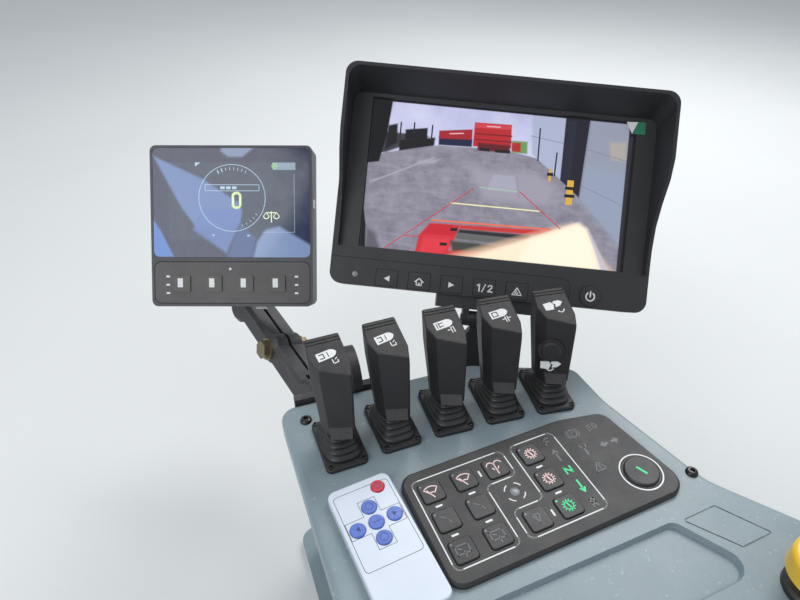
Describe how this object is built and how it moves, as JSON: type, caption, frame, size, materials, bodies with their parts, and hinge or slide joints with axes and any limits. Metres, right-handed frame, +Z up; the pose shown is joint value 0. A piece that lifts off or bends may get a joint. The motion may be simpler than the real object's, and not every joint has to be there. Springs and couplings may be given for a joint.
{
  "type": "forklift operator control console",
  "caption": "Right-hand operator console from a forklift cab: fingertip levers with bellows, keypad, remote, parking-brake knob, vehicle display on a ball arm and hooded camera monitor.",
  "frame": {"origin": "middle of the base plate's bolt pattern, on the plate's underside", "axes": "+X outboard to the operator's right along the keypad's rows, +Y forward away from the operator, +Z up"},
  "size_m": [0.4003, 0.5087, 0.3511],
  "materials": {
    "console_paint": "satin grey-blue paint",
    "bracket_steel": "satin black",
    "black_plastic": "matte",
    "key_plastic": "fine matte",
    "remote_white": "semi-gloss",
    "remote_button": "semi-gloss",
    "grip_plastic": "matte, fine grain",
    "bellows_rubber": "matte",
    "knob_yellow": "semi-gloss",
    "monitor_plastic": "fine matte",
    "screen": "glossy",
    "display_plastic": "fine matte",
    "arm_alloy": "satin black powder coat",
    "bolt_steel": "dull zinc"
  },
  "bodies": {
    "console": {"console_cover": "console_paint", "console_shell": "console_paint", "base_plate": "console_paint", "keypad_frame": "black_plastic", "keypad_keys": "key_plastic", "start_button": "key_plastic", "remote_body": "remote_white", "remote_buttons": "remote_button", "brake_bezel": "black_plastic", "brake_knob": "knob_yellow", "lever_base_1": "black_plastic", "lever_base_2": "black_plastic", "lever_base_3": "black_plastic", "lever_base_4": "black_plastic", "lever_base_5": "black_plastic", "lever_bellows_1": "bellows_rubber", "lever_bellows_2": "bellows_rubber", "lever_bellows_3": "bellows_rubber", "lever_bellows_4": "bellows_rubber", "lever_bellows_5": "bellows_rubber", "monitor_shelf": "bracket_steel", "arm_foot": "arm_alloy", "arm_star_knob": "black_plastic"},
    "lever_1": {"lever_handle_1": "grip_plastic"},
    "lever_2": {"lever_handle_2": "grip_plastic"},
    "lever_3": {"lever_handle_3": "grip_plastic"},
    "lever_4": {"lever_handle_4": "grip_plastic"},
    "lever_5": {"lever_handle_5": "grip_plastic", "lever_button": "grip_plastic"},
    "monitor_mast": {"monitor_post": "bracket_steel"},
    "monitor": {"monitor_case": "monitor_plastic", "monitor_glass": "screen", "monitor_keys": "monitor_plastic", "monitor_hood": "monitor_plastic", "monitor_foot": "bracket_steel"},
    "display_arm": {"arm_half_left": "arm_alloy", "arm_half_right": "arm_alloy", "arm_bolt": "bolt_steel"},
    "display": {"display_case": "display_plastic", "display_glass": "screen", "display_keys": "display_plastic", "display_mount": "arm_alloy"}
  },
  "joints": [
    {"name": "lever_1_tilt", "type": "hinge", "parent": "console", "child": "lever_1", "pos_m": [-0.07857, 0.11568, 0.147], "axis": [0.9991, -0.0419, 0], "range_deg": [-18, 18], "stiffness_Nm_per_rad": 2, "deforming": ["lever_bellows_1"]},
    {"name": "lever_2_tilt", "type": "hinge", "parent": "console", "child": "lever_2", "pos_m": [-0.04044, 0.11618, 0.147], "axis": [0.999, -0.0436, 0], "range_deg": [-18, 18], "stiffness_Nm_per_rad": 2, "deforming": ["lever_bellows_2"]},
    {"name": "lever_3_tilt", "type": "hinge", "parent": "console", "child": "lever_3", "pos_m": [-0.00164, 0.11367, 0.147], "axis": [0.9923, -0.1236, 0], "range_deg": [-18, 18], "stiffness_Nm_per_rad": 2, "deforming": ["lever_bellows_3"]},
    {"name": "lever_4_tilt", "type": "hinge", "parent": "console", "child": "lever_4", "pos_m": [0.03625, 0.1091, 0.147], "axis": [0.9885, -0.1513, 0], "range_deg": [-18, 18], "stiffness_Nm_per_rad": 2, "deforming": ["lever_bellows_4"]},
    {"name": "lever_5_tilt", "type": "hinge", "parent": "console", "child": "lever_5", "pos_m": [0.07389, 0.10235, 0.147], "axis": [0.9799, -0.1994, 0], "range_deg": [-18, 18], "stiffness_Nm_per_rad": 2, "deforming": ["lever_bellows_5"]},
    {"name": "monitor_swivel", "type": "hinge", "parent": "console", "child": "monitor_mast", "pos_m": [0.06106, 0.17848, 0.09], "axis": [0, 0, 1], "range_deg": [-12, 12]},
    {"name": "monitor_tilt", "type": "hinge", "parent": "monitor_mast", "child": "monitor", "pos_m": [0.06106, 0.17848, 0.17691], "axis": [0.8828, -0.4647, -0.069], "range_deg": [-16, 8]},
    {"name": "arm_lift", "type": "hinge", "parent": "console", "child": "display_arm", "pos_m": [-0.07273, 0.18997, 0.133], "axis": [0.9036, 0.2033, -0.3772], "range_deg": [-16, 2]},
    {"name": "display_tilt", "type": "hinge", "parent": "display_arm", "child": "display", "pos_m": [-0.09576, 0.31305, 0.14417], "axis": [-0.9036, -0.2033, 0.3772], "range_deg": [-10, 10]}
  ]
}
